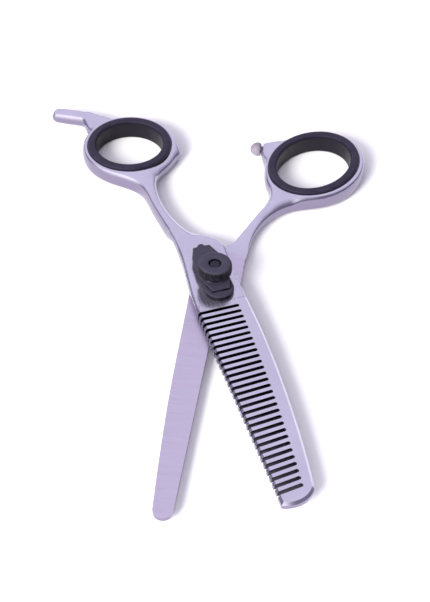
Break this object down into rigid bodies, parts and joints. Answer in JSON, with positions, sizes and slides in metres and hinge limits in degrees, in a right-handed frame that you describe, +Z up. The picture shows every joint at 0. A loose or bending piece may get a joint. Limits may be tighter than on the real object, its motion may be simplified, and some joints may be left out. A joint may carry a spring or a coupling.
{
  "type": "thinning shears",
  "caption": "Open thinning shears: a toothed and a plain lever crossed on a screw pivot with a knurled tension knob, soft ring inserts, a finger rest and a closing bumper.",
  "frame": {"origin": "on the pivot's axis, at the underside of the pivot screw's head, which is the plane the shears lie on", "axes": "+Z up along the pivot's axis, from the screw's head to the knob; +Y from the pivot towards the finger rings, midway between the levers; +X towards the thumb ring"},
  "size_m": [0.0914, 0.1436, 0.0121],
  "materials": {
    "lever_steel": "polished stainless steel",
    "insert_rubber": "satin soft rubber",
    "bumper_rubber": "translucent soft rubber",
    "screw_steel": "bright turned steel",
    "nylon": "natural nylon",
    "bush_brass": "turned",
    "dark_metal": "black-coated, satin"
  },
  "bodies": {
    "plain_lever": {"plain_blade": "lever_steel", "thumb_ring_insert": "insert_rubber", "bumper": "bumper_rubber", "pivot_screw": "screw_steel", "ride_washer": "nylon"},
    "toothed_lever": {"toothed_blade": "lever_steel", "finger_ring_insert": "insert_rubber", "pivot_bush": "bush_brass", "tension_base": "dark_metal", "tension_leaf": "dark_metal", "locating_pin": "dark_metal", "spring_washer": "screw_steel"},
    "thrust_stack": {"thrust_washer": "screw_steel"},
    "knob": {"tension_knob": "dark_metal", "knob_lock_ring": "nylon"}
  },
  "joints": [
    {"name": "blade_pivot", "type": "hinge", "parent": "plain_lever", "child": "toothed_lever", "pos_m": [0, 0, 0.003], "axis": [0, 0, 1], "range_deg": [-20.6, 90]},
    {"name": "knob_lift", "type": "slide", "parent": "plain_lever", "child": "thrust_stack", "axis": [0, 0, 1], "range_m": [-0.00025, 0.00025], "deforming": ["spring_washer"]},
    {"name": "knob_turn", "type": "hinge", "parent": "thrust_stack", "child": "knob", "pos_m": [0, 0, 0.0095], "axis": [0, 0, 1], "range_deg": [-180, 180]}
  ],
  "couplings": [
    {"joint": "knob_lift", "follows": "knob_turn", "m_per_rad": 0.000079577}
  ]
}
